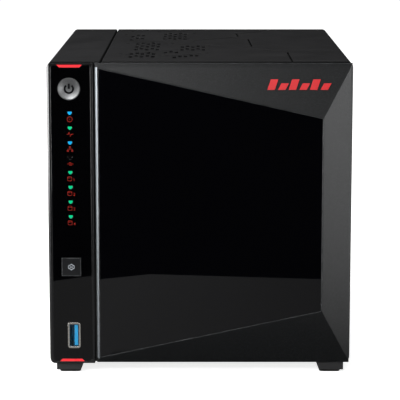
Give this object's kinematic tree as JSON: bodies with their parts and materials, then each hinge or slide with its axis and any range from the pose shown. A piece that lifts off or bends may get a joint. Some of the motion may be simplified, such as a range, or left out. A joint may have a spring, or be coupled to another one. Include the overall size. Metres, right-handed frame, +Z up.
{
  "type": "nas enclosure",
  "caption": "Desktop network storage box with a faceted magnetic door, vertical drive trays, a status column and a rear fan.",
  "frame": {"origin": "on the floor under the middle of the box", "axes": "+X to the right seen from the front, +Y to the back, +Z up"},
  "size_m": [0.174, 0.23, 0.181],
  "materials": {
    "shell_grey": "fine textured satin",
    "bezel_black": "satin",
    "gloss_black": "mirror gloss",
    "door_metal": "brushed dark",
    "trim_metal": "brushed",
    "sheet_steel": "galvanised",
    "black_sheet": "powder coat",
    "screw_steel": "plated",
    "magnet": "nickel plated",
    "button_metal": "turned",
    "red_plastic": "satin",
    "blue_lens": "lit",
    "green_lens": "lit",
    "dark_lens": "unlit",
    "connector_metal": "nickel plated",
    "usb_blue": "moulded",
    "jack_black": "moulded",
    "board_green": "solder mask",
    "brass": "plated",
    "heatsink_black": "anodised",
    "rubber": "matte"
  },
  "bodies": {
    "case": {"left_shell": "shell_grey", "right_shell": "shell_grey", "base_plate": "sheet_steel", "drive_cage": "sheet_steel", "rear_panel": "black_sheet", "rear_screws": "screw_steel", "foot_brackets": "bezel_black", "foot_pads": "rubber", "front_bezel": "bezel_black", "column_panel": "gloss_black", "red_accents": "red_plastic", "blue_led_lenses": "blue_lens", "green_led_lenses": "green_lens", "unlit_led_lens": "dark_lens", "front_usb_shell": "connector_metal", "front_usb_tongue": "usb_blue", "front_board": "board_green", "front_switches": "jack_black", "bezel_magnets": "magnet", "main_board": "board_green", "board_standoffs": "brass", "heatsink": "heatsink_black", "memory_module": "board_green", "lan_jacks": "connector_metal", "rear_usb_shells": "connector_metal", "rear_usb_tongues": "usb_blue", "hdmi_port": "connector_metal", "dc_jack": "jack_black", "backplane": "board_green", "drive_connectors": "jack_black", "fan_frame": "jack_black", "fan_screws": "screw_steel"},
    "door": {"door_frame": "door_metal", "door_panel": "gloss_black", "door_edge_trim": "trim_metal", "door_badge": "red_plastic", "door_magnets": "magnet"},
    "tray_1": {"tray_1": "bezel_black", "handle_pin_1": "screw_steel"},
    "handle_1": {"tray_handle_1": "shell_grey"},
    "latch_1": {"tray_latch_1": "shell_grey"},
    "tray_2": {"tray_2": "bezel_black", "handle_pin_2": "screw_steel"},
    "handle_2": {"tray_handle_2": "shell_grey"},
    "latch_2": {"tray_latch_2": "shell_grey"},
    "tray_3": {"tray_3": "bezel_black", "handle_pin_3": "screw_steel"},
    "handle_3": {"tray_handle_3": "shell_grey"},
    "latch_3": {"tray_latch_3": "shell_grey"},
    "tray_4": {"tray_4": "bezel_black", "handle_pin_4": "screw_steel"},
    "handle_4": {"tray_handle_4": "shell_grey"},
    "latch_4": {"tray_latch_4": "shell_grey"},
    "power_button": {"power_button": "button_metal"},
    "backup_button": {"backup_button": "bezel_black"},
    "fan_rotor": {"fan_rotor": "jack_black"}
  },
  "joints": [
    {"name": "door_pull", "type": "slide", "parent": "case", "child": "door", "axis": [0, -1, 0], "range_m": [0, 0.3]},
    {"name": "tray_1_slide", "type": "slide", "parent": "case", "child": "tray_1", "axis": [0, -1, 0], "range_m": [0, 0.2]},
    {"name": "handle_1_hinge", "type": "hinge", "parent": "tray_1", "child": "handle_1", "pos_m": [-0.03675, -0.0989, 0.045], "axis": [1, 0, 0], "range_deg": [0, 55]},
    {"name": "latch_1_press", "type": "slide", "parent": "tray_1", "child": "latch_1", "axis": [0, 1, 0], "range_m": [0, 0.0015], "stiffness_N_per_m": 400, "springref_m": -0.001},
    {"name": "tray_2_slide", "type": "slide", "parent": "case", "child": "tray_2", "axis": [0, -1, 0], "range_m": [0, 0.2]},
    {"name": "handle_2_hinge", "type": "hinge", "parent": "tray_2", "child": "handle_2", "pos_m": [-0.00325, -0.0989, 0.045], "axis": [1, 0, 0], "range_deg": [0, 55]},
    {"name": "latch_2_press", "type": "slide", "parent": "tray_2", "child": "latch_2", "axis": [0, 1, 0], "range_m": [0, 0.0015], "stiffness_N_per_m": 400, "springref_m": -0.001},
    {"name": "tray_3_slide", "type": "slide", "parent": "case", "child": "tray_3", "axis": [0, -1, 0], "range_m": [0, 0.2]},
    {"name": "handle_3_hinge", "type": "hinge", "parent": "tray_3", "child": "handle_3", "pos_m": [0.03025, -0.0989, 0.045], "axis": [1, 0, 0], "range_deg": [0, 55]},
    {"name": "latch_3_press", "type": "slide", "parent": "tray_3", "child": "latch_3", "axis": [0, 1, 0], "range_m": [0, 0.0015], "stiffness_N_per_m": 400, "springref_m": -0.001},
    {"name": "tray_4_slide", "type": "slide", "parent": "case", "child": "tray_4", "axis": [0, -1, 0], "range_m": [0, 0.2]},
    {"name": "handle_4_hinge", "type": "hinge", "parent": "tray_4", "child": "handle_4", "pos_m": [0.06375, -0.0989, 0.045], "axis": [1, 0, 0], "range_deg": [0, 55]},
    {"name": "latch_4_press", "type": "slide", "parent": "tray_4", "child": "latch_4", "axis": [0, 1, 0], "range_m": [0, 0.0015], "stiffness_N_per_m": 400, "springref_m": -0.001},
    {"name": "power_press", "type": "slide", "parent": "case", "child": "power_button", "axis": [0, 1, 0], "range_m": [0, 0.001], "stiffness_N_per_m": 900, "springref_m": -0.001},
    {"name": "backup_press", "type": "slide", "parent": "case", "child": "backup_button", "axis": [0, 1, 0], "range_m": [0, 0.001], "stiffness_N_per_m": 900, "springref_m": -0.001},
    {"name": "fan_spin", "type": "hinge", "parent": "case", "child": "fan_rotor", "pos_m": [0.0135, 0.098, 0.0935], "axis": [0, 1, 0], "continuous": true}
  ],
  "couplings": [
    {"joint": "tray_1_slide", "follows": "door_pull", "ratio": 0.6666},
    {"joint": "handle_1_hinge", "follows": "door_pull", "rad_per_m": 3.19},
    {"joint": "tray_2_slide", "follows": "door_pull", "ratio": 0.6666},
    {"joint": "handle_2_hinge", "follows": "door_pull", "rad_per_m": 3.19},
    {"joint": "tray_3_slide", "follows": "door_pull", "ratio": 0.6666},
    {"joint": "handle_3_hinge", "follows": "door_pull", "rad_per_m": 3.19},
    {"joint": "tray_4_slide", "follows": "door_pull", "ratio": 0.6666},
    {"joint": "handle_4_hinge", "follows": "door_pull", "rad_per_m": 3.19}
  ]
}
